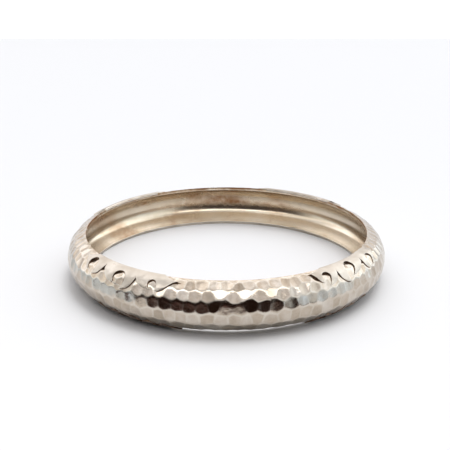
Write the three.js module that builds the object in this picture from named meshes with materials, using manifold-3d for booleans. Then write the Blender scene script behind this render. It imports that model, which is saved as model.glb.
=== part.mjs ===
// A hammered silver bangle, in millimetres, lying on its side with +Z up.
// The band is one closed hoop of sheet silver, raised to a half-round dome and open on the inside like a gutter.
// Rows of hammer marks cover its outer face. Eight thin plates with scalloped edges and keyhole piercings
// are soldered over its two rims, four above and four below, and the lower four are the feet that it lies on.
// Soldered metal is one solid, so the whole bangle is one mesh.

import * as THREE from 'three';
import { mergeVertices } from 'three/addons/utils/BufferGeometryUtils.js';
import Module from 'manifold-3d';

const wasm = await Module();
wasm.setup();

// The band.
const INNER_RADIUS = 31.75;      // half of a 63.5 mm opening, the usual medium bangle
const BAND_HEIGHT = 10;          // rim to rim, without the plates
const DOME_DEPTH = 4.3;          // how far the dome swells out from the rims
const WALL = 1.2;                // thickness of the sheet
const LIP_DEPTH = 0.3;           // flat inside of each rim, before the hollow starts to curve

// The hammer marks, in rows that each sit half a mark further round than the row above.
const MARKS_PER_ROW = 84;
const MARK_ROWS = 8;             // an even number: the first and last rows run over the rims
const ROW_STEP = THREE.MathUtils.degToRad(24.6);     // from row to row, as a crown angle of the dome
const MARK_DEPTH = 0.24;         // middle of a mark below the dome
const SLIP = { around: 0.13, down: 0.1, depth: 0.2 };   // hand work: parts of a pitch, a row and the depth

// A plate laid out flat: x runs round the bangle, y from the rim down the dome, and z is its thickness.
const PLATE_THICKNESS = 0.5;     // above the dome
const PLATE_SINK = 0.4;          // below the dome, where solder closes the marks under the plate
const FILED_OFF = 0.1;           // taken off the plates' tops, which leaves a narrow flat along each rim
const TIP_DEPTH = 1.1;           // from the rim to the scalloped edge at the two ends of a plate
const CUSP_DEPTH = 2.0;          // from the rim to the points between two lobes
const LOBE_DEPTH = 4.4;          // from the rim to the lowest point of a lobe
const HOLE_DEPTH = 2.45;         // from the rim to the middle of a keyhole's round end
const HOLE_RADIUS = 0.95;
const NECK_WIDTH = 1.15;         // the keyhole's slot, open at the lobe's lower edge

// Where each plate's edge comes to a point, in degrees from the front (-Y) towards the right (+X).
// The first and last are the plate's ends, and a lobe hangs between each two.
const PLATES = [
  { place: 'front_left', points: [-58.5, -45.0, -30.5, -16.0] },
  { place: 'front_right', points: [28.5, 39.5, 53.8, 66.0] },
  { place: 'back_right', points: [120.0, 134.8, 149.6, 164.5] },
  { place: 'back_left', points: [210.0, 224.6, 239.2, 253.8] },
];

const LOBES = PLATES[0].points.length - 1;
const FACETS = { hollowRound: 60, hollowDown: 8, plateLobe: 3, plateDown: 4, curve: 3 };
const QUARTER_TURN = Math.PI / 2;
const HALF_HEIGHT = BAND_HEIGHT / 2;
const REST_HEIGHT = HALF_HEIGHT + PLATE_THICKNESS - FILED_OFF;     // the band's middle above the table
const COLUMNS = 2 * MARKS_PER_ROW;
const SHOULDER_RADIUS = 4.5;     // mean bend of the dome near a rim, round which a plate is formed
const PLATE_RADIUS = INNER_RADIUS + DOME_DEPTH / 2;                // where a plate keeps its flat length

// A point of the dome. The crown angle is 90 degrees at the upper rim, 0 at the belly and -90 at the lower rim.
function domePoint(azimuth, crown, lift) {
  const outward = new THREE.Vector2(Math.cos(crown) / DOME_DEPTH, Math.sin(crown) / HALF_HEIGHT).normalize();
  const radius = INNER_RADIUS + DOME_DEPTH * Math.cos(crown) + lift * outward.x;
  const height = REST_HEIGHT + HALF_HEIGHT * Math.sin(crown) + lift * outward.y;
  return new THREE.Vector3(radius * Math.sin(azimuth), -radius * Math.cos(azimuth), height);
}

// A number between -1 and 1 that is always the same for the same three counts: hand work varies, but repeatably.
function scatter(row, count, salt) {
  const wave = Math.sin(row * 12.9898 + count * 78.233 + salt * 37.719) * 43758.5453;
  return 2 * (wave - Math.floor(wave)) - 1;
}

// Where the middle of one hammer mark sits, and how deep it is.
function hammerMark(row, index) {
  const turn = 2 * Math.PI / MARKS_PER_ROW;
  const count = index % MARKS_PER_ROW;
  const onRim = row === 0 || row === MARK_ROWS - 1;
  const middleRow = (MARK_ROWS - 1) / 2;
  return {
    azimuth: (index + (row % 2) / 2 + SLIP.around * scatter(row, count, 1)) * turn,
    crown: (middleRow - row + (onRim ? 0 : SLIP.down * scatter(row, count, 2))) * ROW_STEP,
    depth: MARK_DEPTH * (1 + SLIP.depth * scatter(row, count, 3)),
  };
}

// The marks meet in hexagons. On a grid of half marks by third rows, every node that the lattice uses is
// either the middle of a mark or a corner where three ridges meet.
function markAt(column, level) {
  const isMiddle = level % 6 === (column % 2) * 3;
  return isMiddle ? hammerMark(level / 3, (column - column % 2) / 2) : null;
}

// A corner lies between the marks that meet there, and keeps the full height of the dome.
function latticePoint(column, level) {
  const mark = markAt(column, level);
  if (mark) return domePoint(mark.azimuth, mark.crown, -mark.depth);
  const steps = [[0, -2], [0, 2], [-1, -1], [-1, 1], [1, -1], [1, 1]];
  const around = steps.map(([across, down]) => markAt(column + across + COLUMNS, level + down)).filter(Boolean);
  const mean = (key) => around.reduce((sum, neighbour) => sum + neighbour[key], 0) / around.length;
  return domePoint(mean('azimuth'), mean('crown'), 0);
}

// The band's outer face, closed by a plain cylinder on the inside. Each column is one loop of points round
// the section, and neighbouring columns are joined by squares, each split along its shorter diagonal.
function hammeredHoop() {
  const lastLevel = 3 * (MARK_ROWS - 1);
  const loops = [];
  for (let column = 0; column < COLUMNS; column++) {
    const azimuth = column * 2 * Math.PI / COLUMNS;
    const loop = [domePoint(azimuth, QUARTER_TURN, 0)];
    for (let level = column % 2; level <= lastLevel; level += 2) loop.push(latticePoint(column, level));
    loop.push(domePoint(azimuth, -QUARTER_TURN, 0));
    loops.push(loop);
  }
  const rungs = loops[0].length;
  const index = [];
  for (let column = 0; column < COLUMNS; column++) {
    for (let rung = 0; rung < rungs; rung++) {
      const here = column * rungs;
      const next = (column + 1) % COLUMNS * rungs;
      const below = (rung + 1) % rungs;
      const [a, b, c, d] = [here + rung, next + rung, next + below, here + below];
      if (column % 2) index.push(a, c, b, a, d, c);
      else index.push(a, d, b, b, d, c);
    }
  }
  const geometry = new THREE.BufferGeometry();
  geometry.setFromPoints(loops.flat());
  geometry.setIndex(index);
  return geometry;
}

// The hollow behind the dome: the dome's own curve, one wall thickness further in.
function hollowCutter() {
  const lip = HALF_HEIGHT - WALL;
  const mouth = INNER_RADIUS + LIP_DEPTH;
  const depth = DOME_DEPTH - WALL - LIP_DEPTH;
  const clear = INNER_RADIUS - 1;
  const profile = [new THREE.Vector2(clear, -lip)];
  for (let i = 0; i <= FACETS.hollowDown; i++) {
    const crown = -QUARTER_TURN + Math.PI * i / FACETS.hollowDown;
    profile.push(new THREE.Vector2(mouth + depth * Math.cos(crown), lip * Math.sin(crown)));
  }
  profile.push(new THREE.Vector2(clear, lip), new THREE.Vector2(clear, -lip));
  const hollow = new THREE.LatheGeometry(profile, FACETS.hollowRound);
  return hollow.rotateX(QUARTER_TURN).translate(0, 0, REST_HEIGHT);
}

// A lobe's edge from one point to its lowest place and up to the next point. It drops steeply from a cusp,
// and leaves the tip of a plate level.
function lobeEdge(shape, from, to, fromTip, toTip) {
  const middle = (from + to) / 2;
  const top = (isTip) => (isTip ? TIP_DEPTH : CUSP_DEPTH);
  const steep = (isTip) => (isTip ? 0 : 0.5 * (LOBE_DEPTH - CUSP_DEPTH));
  const level = (x, isTip) => x + (isTip ? 0.55 : 0) * (middle - x);
  shape.bezierCurveTo(
    level(from, fromTip), top(fromTip) + steep(fromTip), (from + middle) / 2, LOBE_DEPTH, middle, LOBE_DEPTH,
  );
  shape.bezierCurveTo(
    (middle + to) / 2, LOBE_DEPTH, level(to, toTip), top(toTip) + steep(toTip), to, top(toTip),
  );
}

// All that lies below the scalloped edge of a flat plate.
function scallopShape(points) {
  const below = LOBE_DEPTH + 1;
  const length = points[LOBES];
  const shape = new THREE.Shape();
  shape.moveTo(-1, below);
  shape.lineTo(-1, TIP_DEPTH);
  shape.lineTo(0, TIP_DEPTH);
  for (let i = 0; i < LOBES; i++) lobeEdge(shape, points[i], points[i + 1], i === 0, i === LOBES - 1);
  shape.lineTo(length + 1, TIP_DEPTH);
  shape.lineTo(length + 1, below);
  return shape;
}

// A keyhole: a round hole, and a slot that leaves the plate at the lobe's lower edge.
function keyholeShape(x) {
  const half = NECK_WIDTH / 2;
  const start = Math.asin(half / HOLE_RADIUS);
  const exit = LOBE_DEPTH + 1;
  const shape = new THREE.Shape();
  shape.moveTo(x + half, exit);
  shape.absarc(x, HOLE_DEPTH, HOLE_RADIUS, QUARTER_TURN - start, QUARTER_TURN + start, true);
  shape.lineTo(x - half, exit);
  return shape;
}

function solidOf(geometry) {
  const bare = geometry.clone();
  bare.deleteAttribute('normal');
  bare.deleteAttribute('uv');
  const merged = mergeVertices(bare);
  return new wasm.Manifold(new wasm.Mesh({
    numProp: 3,
    vertProperties: merged.attributes.position.array,
    triVerts: new Uint32Array(merged.index.array),
  }));
}

function geometryOf(solid) {
  const mesh = solid.getMesh();
  const geometry = new THREE.BufferGeometry();
  geometry.setAttribute('position', new THREE.BufferAttribute(new Float32Array(mesh.vertProperties), 3));
  geometry.setIndex(new THREE.BufferAttribute(new Uint32Array(mesh.triVerts), 1));
  return geometry;
}

// A flat strip with the scallops and keyholes cut out. Its points are distances along the strip.
function piercedStrip(points) {
  const length = points[LOBES];
  const thickness = PLATE_THICKNESS + PLATE_SINK;
  const columns = FACETS.plateLobe * LOBES;
  const strip = new THREE.BoxGeometry(length, LOBE_DEPTH, thickness, columns, FACETS.plateDown, 1);
  strip.translate(length / 2, LOBE_DEPTH / 2, PLATE_THICKNESS - thickness / 2);
  const cutterOf = (shape) => {
    const options = { depth: 2 * thickness, bevelEnabled: false, curveSegments: FACETS.curve };
    return solidOf(new THREE.ExtrudeGeometry(shape, options).translate(0, 0, -thickness));
  };
  let solid = solidOf(strip).subtract(cutterOf(scallopShape(points)));
  for (let i = 0; i < LOBES; i++) {
    solid = solid.subtract(cutterOf(keyholeShape((points[i] + points[i + 1]) / 2)));
  }
  return geometryOf(solid);
}

// The strip formed over the dome's shoulder. side is 1 at the upper rim and -1 at the lower one.
function formedPlate(plate, side) {
  const edgeGap = 0.05;          // keeps the plate's edge off the band's inner face
  const start = THREE.MathUtils.degToRad(plate.points[0]);
  const points = plate.points.map((degrees) => PLATE_RADIUS * (THREE.MathUtils.degToRad(degrees) - start));
  const geometry = piercedStrip(points);
  const position = geometry.attributes.position;
  for (let i = 0; i < position.count; i++) {
    const azimuth = start + position.getX(i) / PLATE_RADIUS;
    const crown = QUARTER_TURN - position.getY(i) / SHOULDER_RADIUS;
    const point = domePoint(azimuth, crown, position.getZ(i));
    const radius = Math.max(Math.hypot(point.x, point.y), INNER_RADIUS + edgeGap);
    const height = REST_HEIGHT + side * (point.z - REST_HEIGHT);
    position.setXYZ(i, radius * Math.sin(azimuth), -radius * Math.cos(azimuth), height);
  }
  if (side > 0) geometry.index.array.reverse();
  return geometry;
}

// The space between the two planes that the plates are filed down to.
function filedSpace() {
  const width = 4 * INNER_RADIUS;
  return new THREE.BoxGeometry(width, width, 2 * REST_HEIGHT).translate(0, 0, REST_HEIGHT);
}

function bangle() {
  let solid = solidOf(hammeredHoop()).subtract(solidOf(hollowCutter()));
  for (const plate of PLATES) {
    for (const side of [1, -1]) solid = solid.add(solidOf(formedPlate(plate, side)));
  }
  solid = solid.intersect(solidOf(filedSpace()));
  const silver = new THREE.MeshStandardMaterial({
    color: 0xd6d2ca,
    roughness: 0.22,
    metalness: 1,
    flatShading: true,
  });
  const mesh = new THREE.Mesh(geometryOf(solid), silver);
  mesh.name = 'bangle';
  return mesh;
}

const part = new THREE.Group();
part.name = 'hammered_bangle';
part.add(bangle());

export default part;
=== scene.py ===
# %% [markdown]
# # A hammered silver bangle
# The real thing is a hoop of sheet silver. A smith raises the sheet to a half-round dome, closes it into a
# ring, covers it with hammer marks, and solders thin pierced plates over both rims. It lies on its side on
# a white table. This lesson builds it round the CAD model: first the frame and the camera, then the
# hammered band, the plates, the finishes, and last the light.

# %% The frame
import math
import random
from collections import namedtuple

import bmesh
import bpy
from mathutils import Matrix, Vector


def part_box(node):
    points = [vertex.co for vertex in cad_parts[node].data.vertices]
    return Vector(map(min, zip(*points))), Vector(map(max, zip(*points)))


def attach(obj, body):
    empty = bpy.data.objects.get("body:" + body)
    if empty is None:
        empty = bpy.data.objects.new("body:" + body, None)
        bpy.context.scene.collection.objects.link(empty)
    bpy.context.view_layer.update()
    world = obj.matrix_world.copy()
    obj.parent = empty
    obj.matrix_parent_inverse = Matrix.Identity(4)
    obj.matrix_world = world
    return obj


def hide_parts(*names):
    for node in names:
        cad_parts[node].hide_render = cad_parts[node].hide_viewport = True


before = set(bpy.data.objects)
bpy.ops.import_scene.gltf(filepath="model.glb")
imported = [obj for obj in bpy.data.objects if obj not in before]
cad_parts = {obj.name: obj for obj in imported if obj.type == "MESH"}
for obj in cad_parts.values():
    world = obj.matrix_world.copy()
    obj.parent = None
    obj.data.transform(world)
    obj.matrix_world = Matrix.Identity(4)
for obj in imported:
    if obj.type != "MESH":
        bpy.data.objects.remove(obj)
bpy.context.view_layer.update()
low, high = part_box("bangle")
print("The CAD bangle measures", [round(1000 * side, 1) for side in high - low], "mm")

# %% [markdown]
# ## Sizes
# A jeweller thinks in millimetres, so the sizes here are in millimetres, and each mesh is scaled down to
# metres when it is finished. The outer radius and the height come from the CAD model, and the dome's round
# section follows from them and from how far it swells out.

# %% Sizes
MM = 0.001
OUTER_RADIUS = (high.x - low.x) / 2 / MM
HEIGHT = (high.z - low.z) / MM
DOME_DEPTH = 4.3                    # how far the dome swells out from the rims
PLATE_LIFT = 0.28                   # how far the plates stand above the rims
INNER_RADIUS = OUTER_RADIUS - DOME_DEPTH
HALF_BAND = HEIGHT / 2 - PLATE_LIFT
MID_HEIGHT = HEIGHT / 2
BEND = (HALF_BAND ** 2 + DOME_DEPTH ** 2) / (2 * DOME_DEPTH)    # radius of the dome's round section
BEND_CENTRE = OUTER_RADIUS - BEND                               # how far its middle lies from the axis
print("Inside", round(2 * INNER_RADIUS, 2), "mm across, band", round(2 * HALF_BAND, 2), "mm high")

# %% [markdown]
# ## The camera
# The view is from close by and a little above, as someone bends over a table to look at it. Near things
# look much larger than far ones that way, so the distance matters as much as the angle: it is a little
# under five times the bangle's inner radius.

# %% The camera
VIEW_DISTANCE = 155.4
VIEW_ELEVATION = math.radians(20.7)
VIEW_RISE = math.radians(1.76)      # the camera aims this much above the middle of the bangle
VIEW_SHIFT = -0.3                   # and stands a hair to the left of it
LENS = 53.4


def aim_camera():
    camera = bpy.data.objects.new("camera", bpy.data.cameras.new("camera"))
    camera.data.lens = LENS
    middle = Vector((0, 0, MID_HEIGHT))
    away = Vector((0, -math.cos(VIEW_ELEVATION), math.sin(VIEW_ELEVATION)))
    camera.location = (middle + VIEW_DISTANCE * away + Vector((VIEW_SHIFT, 0, 0))) * MM
    camera.rotation_euler = (math.pi / 2 - VIEW_ELEVATION + VIEW_RISE, 0, 0)
    camera.data.clip_start = 0.01
    bpy.context.scene.collection.objects.link(camera)
    bpy.context.scene.camera = camera
    print("The camera stands at", [round(v, 4) for v in camera.location])


aim_camera()

# %% [markdown]
# ## A place on the dome
# Every point of the bangle's outside is named by two angles and a lift. The azimuth runs round the ring
# from the front (-Y) towards the right (+X). The crown angle runs over the dome, from the belly at 0 up to
# the upper rim at about 82 degrees, and down to the lower rim at as much below. The lift is the distance
# above the dome.

# %% A place on the dome
def dome_point(azimuth, crown, lift=0.0):
    radius = BEND_CENTRE + (BEND + lift) * math.cos(crown)
    height = MID_HEIGHT + (BEND + lift) * math.sin(crown)
    return Vector((radius * math.sin(azimuth), -radius * math.cos(azimuth), height))


def dome_angles(point):
    radius = math.hypot(point.x, point.y) - BEND_CENTRE
    return math.atan2(point.x, -point.y), math.atan2(point.z - MID_HEIGHT, radius)


print("The belly's foremost point is", [round(v, 1) for v in dome_point(0, 0)])

# %% [markdown]
# ## Where the blows land
# A planishing hammer has a round face, so each blow leaves a shallow bowl, and where two bowls meet a ridge
# is left standing. Blows laid in staggered rows meet in hexagons, like a honeycomb. No smith is a machine,
# so each blow here lands a little off its place, and bites a little more or less. The tone says how much
# film its bowl will have.

# %% Where the blows land
MARKS = 94                          # blows in a row
HALF_PITCH = math.pi / MARKS        # half the angle from one blow to the next
ROW_CROWNS = [math.radians(a) for a in (87.5, 62.3, 38.0, 13.8, -13.5, -40.5, -65.0, -88.0)]
ROWS = len(ROW_CROWNS)
BOWL_DEPTH = 0.2
WOBBLE = 0.42                       # how far a blow lands from its place

dice = random.Random(31048)


def blow():
    return {"du": dice.uniform(-WOBBLE, WOBBLE), "dv": dice.uniform(-WOBBLE, WOBBLE),
            "depth": BOWL_DEPTH * dice.uniform(0.85, 1.15), "tone": dice.random()}


blows = [[blow() for _ in range(MARKS)] for _ in range(ROWS)]
print(MARKS * ROWS, "blows")

# %% [markdown]
# ## Blows that went astray
# Some blows in front landed well off their place, so their bowls lean, and catch the lamp or miss it. These
# are listed one by one. Each has its row, its degrees round from the front, and how far it landed to the
# right (du) or up (dv).

# %% Blows that went astray
STRAY = ((2, -17, "dv", -0.2), (2, -9, "dv", -0.1), (2, -5, "dv", -0.25), (2, -1, "dv", 0.62),
         (2, 3, "dv", -0.2), (2, 6.5, "dv", 0.52), (2, 10.5, "dv", 0.0), (2, 14.5, "dv", 0.6),
         (2, 18, "dv", -0.1), (3, -30, "du", -0.42), (3, -26, "du", 0.42), (3, -3, "dv", 0.35),
         (3, 1, "dv", -0.4), (3, 4.5, "dv", -0.4), (3, 8, "dv", 0.35))
for row, degrees, way, much in STRAY:
    odd = 1 + row % 2
    number = round((math.radians(degrees) / HALF_PITCH - odd) / 2)
    blows[row][number % MARKS][way] = much
print(len(STRAY), "of them went astray")

# %% [markdown]
# ## The hammered surface
# One way to make hammer marks is a bump texture, but then the outline stays smooth and the ridges never
# catch the light. Another is to push down the vertices of a fine grid, but a ridge that cuts across the
# grid comes out as a saw. Here the mesh itself is a honeycomb, so that every ridge runs along its edges.
# That needs a formula for the bowls, which also says where three of them meet.
#
# Laid out flat, u runs round the ring and v over the dome, and a bowl is a paraboloid. The surface lies at
# the deepest bowl above each spot. Where two bowls are nearly as deep, a soft minimum rounds the ridge
# between them.

# %% The hammered surface
Bowl = namedtuple("Bowl", "u v depth tone")
BOWL_AROUND = 6.8                   # radius of a bowl round the ring
BOWL_OVER = 60.0                    # and over the dome, where the blow opens the bend
U_SCALE = 34.5                      # flat millimetres for each radian round the ring
V_SCALE = BEND                      # and over the dome
U_BEND = 1 / BOWL_AROUND + 1 / OUTER_RADIUS     # a bowl curves in while the ring curves out
V_BEND = 1 / BOWL_OVER + 1 / BEND
ROW_CLIMB = 0.5                     # how far the rows, laid by eye, climb on the right
RIDGE_ROUND = 0.028                 # wear softens the ridges
RIDGE_FADE = 0.022                  # the worn strip ends where the next bowl would lie this much higher


def bowl(row, column):
    """The bowl whose middle is a whole number of half pitches round the ring."""
    b = blows[row][(column - 1 - row % 2) // 2 % MARKS]
    u = column * HALF_PITCH * U_SCALE + b["du"]
    climb = ROW_CLIMB * max(0.0, math.sin(column * HALF_PITCH)) * math.cos(ROW_CROWNS[row])
    v = ROW_CROWNS[row] * V_SCALE + climb + b["dv"]
    return Bowl(u, v, b["depth"], b["tone"])


def bowl_height(one, u, v):
    return -one.depth + U_BEND / 2 * (u - one.u) ** 2 + V_BEND / 2 * (v - one.v) ** 2


def bowls_near(azimuth, crown):
    above = sum(1 for row_crown in ROW_CROWNS if row_crown > crown)
    for row in range(max(0, above - 2), min(ROWS, above + 2)):
        odd = 1 + row % 2
        nearest = round((azimuth / HALF_PITCH - odd) / 2) * 2 + odd
        for column in (nearest - 2, nearest, nearest + 2):
            yield bowl(row, column)


def hammered(azimuth, crown):
    """How far below the dome the surface lies, how near a ridge is (0 to 1), and the tone of the bowl."""
    u, v = azimuth * U_SCALE, crown * V_SCALE
    around = sorted((bowl_height(one, u, v), one.tone) for one in bowls_near(azimuth, crown))
    deepest, tone = around[0]
    soft = sum(math.exp((deepest - h) / RIDGE_ROUND) for h, _ in around[:4])
    soft += math.exp(min(0.0, deepest / RIDGE_ROUND)) if deepest < 0 else 1.0
    height = min(deepest, 0.0) - RIDGE_ROUND * math.log(soft)
    ridge = math.exp(-(around[1][0] - deepest) / RIDGE_FADE)
    return height, ridge, tone


print("From one blow to the next", round(2 * HALF_PITCH * U_SCALE, 2), "mm")

# %% [markdown]
# ## Where three bowls meet
# All bowls have the same curvature, so two of them meet along a straight line of the flat layout, and three
# of them meet at one point, which two linear equations give.

# %% Where three bowls meet
def meeting_line(a, b):
    p = U_BEND * (a.u - b.u)
    q = V_BEND * (a.v - b.v)
    r = b.depth - a.depth + U_BEND / 2 * (a.u ** 2 - b.u ** 2) + V_BEND / 2 * (a.v ** 2 - b.v ** 2)
    return p, q, r


def bowls_at(column, level):
    """The bowls that meet at a corner of the honeycomb: level 0 is the upper rim."""
    found = []
    for row in (level - 1, level):
        if not 0 <= row < ROWS:
            continue
        if (column + row) % 2:
            found.append(bowl(row, column))
        else:
            found += [bowl(row, column - 1), bowl(row, column + 1)]
    return found


def corner(column, level, crown):
    """The angles of a corner. On a rim, only its place round the ring is free."""
    around = bowls_at(column, level)
    if len(around) == 1:
        return column * HALF_PITCH, crown
    p, q, r = meeting_line(around[0], around[1])
    if len(around) == 2:
        return (r - q * crown * V_SCALE) / p / U_SCALE, crown
    p2, q2, r2 = meeting_line(around[0], around[2])
    det = p * q2 - p2 * q
    return (r * q2 - r2 * q) / det / U_SCALE, (p * r2 - p2 * r) / det / V_SCALE


print("A corner in front:", [round(math.degrees(angle), 1) for angle in corner(1, 3, 0.0)], "degrees")

# %% [markdown]
# ## The section
# The band is turned like a pot: a section is spun round the Z axis. Outside, the section has one step for
# each row of blows. Inside, it is open like a gutter. The sheet runs level with the dome from the upper rim
# almost to the middle. Below that the smith pushed it in with a blunt tool, so the wall turns to face
# upwards, slowly at first and then at a crease, and comes down to the lip. It catches the lamp in one long
# bright line. Where that line lies depends on the wall's angles alone, so the section is stepped down by
# them.

# %% The section
SHEET = 0.8                         # thickness of the silver
EASED = 0.08                        # the rims are filed round by this much
EASED_IN, EASED_DOWN = 0.3 * EASED, 0.4 * EASED     # a place in the middle of that rounding
RIM_CROWN = math.acos((INNER_RADIUS + EASED - BEND_CENTRE) / BEND)
LEVELS = [RIM_CROWN] + [(a + b) / 2 for a, b in zip(ROW_CROWNS, ROW_CROWNS[1:])] + [-RIM_CROWN]
ARCH_END = math.radians(12)         # down to here the hollow runs level with the dome
ARCH_STEPS = 14
WALL_STEPS = 5
# Each pair is a height over the belly, and the degrees that the wall faces up there.
WALL = ((0.92, -12), (0.3, 0), (-0.4, 9), (-1.5, 19), (-1.95, 25), (-2.9, 50), (-4.6, 52))


def outer_section():
    return [dome_point(0, crown) for crown in LEVELS]


def hollow_arch(bend, reach):
    """From under the upper rim down to the crease."""
    arch = []
    for step in range(ARCH_STEPS + 1):
        angle = reach + (ARCH_END - reach) * step / ARCH_STEPS
        arch.append((BEND_CENTRE + bend * math.cos(angle), bend * math.sin(angle)))
    return arch


def creased_wall(radius, height):
    """From the crease down to where the wall meets the lip."""
    wall = []
    for (top, top_face), (bottom, bottom_face) in zip(WALL, WALL[1:]):
        for step in range(WALL_STEPS):
            face = math.radians(top_face + (bottom_face - top_face) * (step + 0.5) / WALL_STEPS)
            fall = (top - bottom) / WALL_STEPS
            radius -= fall * math.tan(face)
            height -= fall
            wall.append((radius, height))
    return [(r, z) for r, z in wall if r > INNER_RADIUS + EASED_IN]


def inner_section():
    """From the lower rim up: an eased edge, the lip, the hollow, and the upper lip and edge."""
    bend = BEND - SHEET
    reach = math.acos((INNER_RADIUS + EASED - BEND_CENTRE) / bend)
    lip = bend * math.sin(reach)
    upper = [(INNER_RADIUS + EASED_IN, HALF_BAND - EASED_DOWN), (INNER_RADIUS, HALF_BAND - EASED),
             (INNER_RADIUS, lip + EASED), (INNER_RADIUS + EASED_IN, lip + EASED_IN)]
    arch = hollow_arch(bend, reach)
    wall = creased_wall(*arch[-1])
    foot = wall[-1][1]
    lower = [(INNER_RADIUS + EASED_IN, -HALF_BAND + EASED_DOWN), (INNER_RADIUS, -HALF_BAND + EASED),
             (INNER_RADIUS, foot - 0.2), (INNER_RADIUS, foot - 0.07)]
    path = lower + wall[::-1] + arch[::-1] + upper[::-1]
    middle = [Vector((0, -r, MID_HEIGHT + z)) for r, z in path]
    return [dome_point(0, -RIM_CROWN)] + middle + [dome_point(0, RIM_CROWN)]


print("The section has", len(outer_section()), "points outside and", len(inner_section()), "inside")

# %% [markdown]
# ## From a pot to a honeycomb
# The spin has two steps for each blow. Dissolving every other upright edge of the outside turns that grid
# into a brick wall, in which each brick touches six others, so it is a honeycomb already. Its corners then
# only have to move to where the bowls meet.

# %% From a pot to a honeycomb
OUTSIDE, INSIDE, LIP = 0, 1, 2      # material slots of the band


def spin_section(bm, points, steps, slot):
    before = set(bm.faces)
    verts = [bm.verts.new(p) for p in points]
    edges = [bm.edges.new(pair) for pair in zip(verts, verts[1:])]
    bmesh.ops.spin(bm, geom=verts + edges, cent=(0, 0, 0), axis=(0, 0, 1), angle=2 * math.pi,
                   steps=steps, use_merge=True, use_duplicate=False)
    for face in set(bm.faces) - before:
        face.material_index = slot


def is_outside(edge):
    return all(face.material_index == OUTSIDE for face in edge.link_faces)


def touches_outside(part):
    return any(face.material_index == OUTSIDE for face in part.link_faces)


def nearest_level(crown):
    return min(range(len(LEVELS)), key=lambda i: abs(LEVELS[i] - crown))


def brick_wall(bm):
    doomed = []
    for edge in bm.edges:
        if not is_outside(edge):
            continue
        ends = [dome_angles(v.co) for v in edge.verts]
        columns = [round(azimuth / HALF_PITCH) for azimuth, _ in ends]
        if (columns[0] - columns[1]) % (2 * MARKS):
            continue
        row = min(nearest_level(crown) for _, crown in ends)
        if (columns[0] + row) % 2:
            doomed.append(edge)
    bmesh.ops.dissolve_edges(bm, edges=doomed)


def move_corners(bm):
    for vert in bm.verts:
        if not touches_outside(vert):
            continue
        azimuth, crown = dome_angles(vert.co)
        level = nearest_level(crown)
        place = corner(round(azimuth / HALF_PITCH), level, LEVELS[level])
        if level in (0, ROWS):
            place = (azimuth, LEVELS[level])
        vert.co = dome_point(*place)


print("The spin takes", 2 * MARKS, "steps")

# %% [markdown]
# ## Pressing the bowls
# The ridges get a narrow bevel, whose two segments will carry the rounding. The cells are poked and
# subdivided, so that they can bend. Then every point is pressed down to the hammered surface, and keeps how
# near a ridge it lies and the tone of its bowl, for the finish. Near the rims the blows are weaker, because
# the smith spares them.

# %% Pressing the bowls
RIDGE_WIDTH = 0.3
FINE_CUTS = 3
CALM = 0.3                          # the share of a bowl's depth that is left at the rim
CALM_REACH = math.radians(12)       # away from the rim it grows by the whole depth over this angle


def refine(bm):
    ridges = [e for e in bm.edges if is_outside(e)]
    bmesh.ops.bevel(bm, geom=ridges, offset=RIDGE_WIDTH / 2, offset_type="OFFSET", segments=2, profile=0.5,
                    affect="EDGES", material=-1, clamp_overlap=True)
    cells = [f for f in bm.faces if f.material_index == OUTSIDE and len(f.verts) > 4]
    bmesh.ops.poke(bm, faces=cells)
    long_edges = [e for e in bm.edges if e.calc_length() > 1.5 * RIDGE_WIDTH and touches_outside(e)]
    bmesh.ops.subdivide_edges(bm, edges=long_edges, cuts=FINE_CUTS, use_grid_fill=True)
    return len(cells)


def press(bm):
    ridge_layer = bm.verts.layers.float.new("ridge")
    tone_layer = bm.verts.layers.float.new("tone")
    for vert in bm.verts:
        if not touches_outside(vert):
            continue
        azimuth, crown = dome_angles(vert.co)
        height, ridge, tone = hammered(azimuth, crown)
        calm = min(1.0, CALM + (RIM_CROWN - abs(crown)) / CALM_REACH)
        vert.co = dome_point(azimuth, crown, calm * height)
        vert[ridge_layer] = ridge
        vert[tone_layer] = tone


print("A ridge is", RIDGE_WIDTH, "mm wide, and at the rim a blow bites to", CALM, "of its depth")

# %% [markdown]
# ## Stains and painted shade inside
# The inside is painted darker, browner and duller in soft spots. The thin line all along under the upper rim
# is painted shade, and the wide band low across the back lies on the dark streak that the hollow reflects
# there and browns it, a painted reflection. The other spots, in the hollow at the sides and behind, are
# darker brown patches. A noise would put them anywhere, so they are painted on the mesh one by one, as soft
# spots.
# The finish breaks them up later.

# %% Stains inside
# Each is degrees round from the front, height, and how wide (in degrees) and how high it is.
# The line under the upper rim is painted shade, and the wide band at 176 degrees, 5.2 mm up, browns the dark
# streak that the hollow reflects there, a painted reflection.
STAINS = ((-98, 7.2, 16, 2.2), (-84, 5.6, 7, 1.2), (94, 6.6, 13, 2.4), (184, 6.7, 13, 1.1),
          (176, 5.2, 26, 0.8), (-140, 7.6, 5, 1.0), (-165, 8.0, 5, 1.0))
RIM_STAIN, RIM_STAIN_HEIGHT = 1.8, 0.6      # how strong and how high the line along the rim is
DARKEST_STAIN = 2.0


def stained(azimuth, height):
    total = RIM_STAIN * math.exp(-((height - HEIGHT + PLATE_LIFT) / RIM_STAIN_HEIGHT) ** 2)
    for degrees, middle, wide, high in STAINS:
        off = (math.degrees(azimuth) - degrees + 180) % 360 - 180
        total += math.exp(-(off / wide) ** 2 - ((height - middle) / high) ** 2)
    return min(DARKEST_STAIN, total)


# Stores the darker spots, with the painted shade under the rim and the painted reflection at the back.
def paint_stains(bm):
    stain_layer = bm.verts.layers.float.new("stain")
    for vert in bm.verts:
        if not touches_outside(vert):
            vert[stain_layer] = stained(math.atan2(vert.co.x, -vert.co.y), vert.co.z)


print("The stain on the left is", round(stained(math.radians(-98), 7.2), 2), "strong")

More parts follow.
